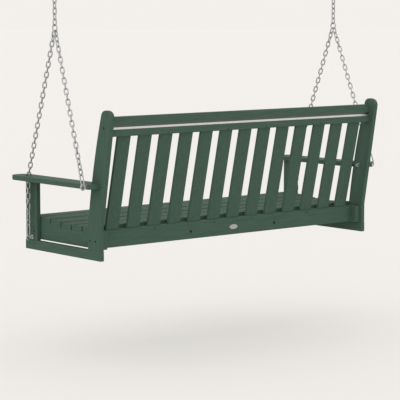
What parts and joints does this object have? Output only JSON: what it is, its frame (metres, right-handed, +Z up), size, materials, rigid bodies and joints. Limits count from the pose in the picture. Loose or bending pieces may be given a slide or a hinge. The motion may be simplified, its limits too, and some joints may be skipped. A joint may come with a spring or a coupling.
{
  "type": "porch swing",
  "caption": "Hanging slatted bench with rounded uprights and flat armrests, on Y-shaped galvanised chains that hook to eye bolts and hang from two ceiling plates.",
  "frame": {"origin": "on the ceiling plane, midway between the two ceiling hangers", "axes": "+X across the swing to the sitter's left, +Y to the rear, +Z up"},
  "size_m": [1.6072, 0.6192, 1.0698],
  "materials": {
    "green_lumber": "satin green recycled plastic lumber with a fine grain",
    "galvanised_steel": "bright zinc plating",
    "coated_screws": "dark coated screw and bolt heads",
    "aluminium_channel": "mill finish",
    "badge_plate": "plain satin plate with a raised rim"
  },
  "bodies": {
    "ceiling": {"ceiling_hanger_left": "galvanised_steel", "ceiling_hanger_right": "galvanised_steel"},
    "top_links": {"top_links": "galvanised_steel"},
    "upper_chain_left": {"upper_chain_left": "galvanised_steel"},
    "upper_chain_right": {"upper_chain_right": "galvanised_steel"},
    "chain_rings": {"chain_rings": "galvanised_steel"},
    "front_gate_left": {"front_hook_gate_left": "galvanised_steel"},
    "front_gate_right": {"front_hook_gate_right": "galvanised_steel"},
    "rear_gate_left": {"rear_hook_gate_left": "galvanised_steel"},
    "rear_gate_right": {"rear_hook_gate_right": "galvanised_steel"},
    "bench": {"armrest_left": "green_lumber", "armrest_right": "green_lumber", "back_slat_01": "green_lumber", "back_slat_02": "green_lumber", "back_slat_03": "green_lumber", "back_slat_04": "green_lumber", "back_slat_05": "green_lumber", "back_slat_06": "green_lumber", "back_slat_07": "green_lumber", "back_slat_08": "green_lumber", "back_slat_09": "green_lumber", "back_slat_10": "green_lumber", "back_slat_11": "green_lumber", "back_slat_12": "green_lumber", "back_slat_13": "green_lumber", "back_upright_left": "green_lumber", "back_upright_right": "green_lumber", "bottom_rail_left": "green_lumber", "bottom_rail_right": "green_lumber", "deck_screws": "coated_screws", "eye_bolt_nuts": "galvanised_steel", "eye_bolt_washers": "galvanised_steel", "eye_bolts": "galvanised_steel", "frame_screws": "coated_screws", "front_apron": "green_lumber", "front_chain_left": "galvanised_steel", "front_chain_right": "galvanised_steel", "front_post_left": "green_lumber", "front_post_right": "green_lumber", "oval_badge": "badge_plate", "rear_apron": "green_lumber", "rear_chain_left": "galvanised_steel", "rear_chain_right": "galvanised_steel", "seat_side_rail_left": "green_lumber", "seat_side_rail_right": "green_lumber", "seat_slat_1": "green_lumber", "seat_slat_2": "green_lumber", "seat_slat_3": "green_lumber", "seat_slat_4": "green_lumber", "seat_slat_5": "green_lumber", "seat_slat_6": "green_lumber", "seat_support_left": "green_lumber", "seat_support_right": "green_lumber", "slat_screws": "coated_screws", "snap_hooks": "galvanised_steel", "support_bolts": "coated_screws", "top_rail": "green_lumber", "top_rail_stiffener": "aluminium_channel"}
  },
  "joints": [
    {"name": "swing", "type": "hinge", "parent": "ceiling", "child": "top_links", "pos_m": [0, 0, -0.029], "axis": [1, 0, 0], "range_deg": [-28, 28]},
    {"name": "sway", "type": "hinge", "parent": "top_links", "child": "upper_chain_left", "pos_m": [0.7486, 0, -0.0677], "axis": [0, 1, 0], "range_deg": [-12, 12]},
    {"name": "sway_right", "type": "hinge", "parent": "top_links", "child": "upper_chain_right", "pos_m": [-0.7486, 0, -0.0677], "axis": [0, 1, 0], "range_deg": [-13, 13]},
    {"name": "ring_level", "type": "hinge", "parent": "upper_chain_left", "child": "chain_rings", "pos_m": [0.7486, 0, -0.1689], "axis": [0, 1, 0], "range_deg": [-13, 13]},
    {"name": "seat_tilt", "type": "hinge", "parent": "chain_rings", "child": "bench", "pos_m": [0, 0, -0.1829], "axis": [1, 0, 0], "range_deg": [-10, 10]},
    {"name": "front_gate_left_pivot", "type": "hinge", "parent": "bench", "child": "front_gate_left", "pos_m": [0.7342, -0.20559, -0.98033], "axis": [-1, 0, 0], "range_deg": [0, 22], "stiffness_Nm_per_rad": 0.02},
    {"name": "front_gate_right_pivot", "type": "hinge", "parent": "bench", "child": "front_gate_right", "pos_m": [-0.7342, -0.20559, -0.98033], "axis": [-1, 0, 0], "range_deg": [0, 22], "stiffness_Nm_per_rad": 0.02},
    {"name": "rear_gate_left_pivot", "type": "hinge", "parent": "bench", "child": "rear_gate_left", "pos_m": [0.77725, 0.21582, -0.74154], "axis": [-0.9987, 0, -0.0511], "range_deg": [0, 22], "stiffness_Nm_per_rad": 0.02},
    {"name": "rear_gate_right_pivot", "type": "hinge", "parent": "bench", "child": "rear_gate_right", "pos_m": [-0.77725, 0.21582, -0.74154], "axis": [-0.9987, 0, 0.0511], "range_deg": [0, 22], "stiffness_Nm_per_rad": 0.02}
  ],
  "couplings": [
    {"joint": "sway_right", "follows": "sway", "ratio": 1},
    {"joint": "ring_level", "follows": "sway", "ratio": -1}
  ]
}
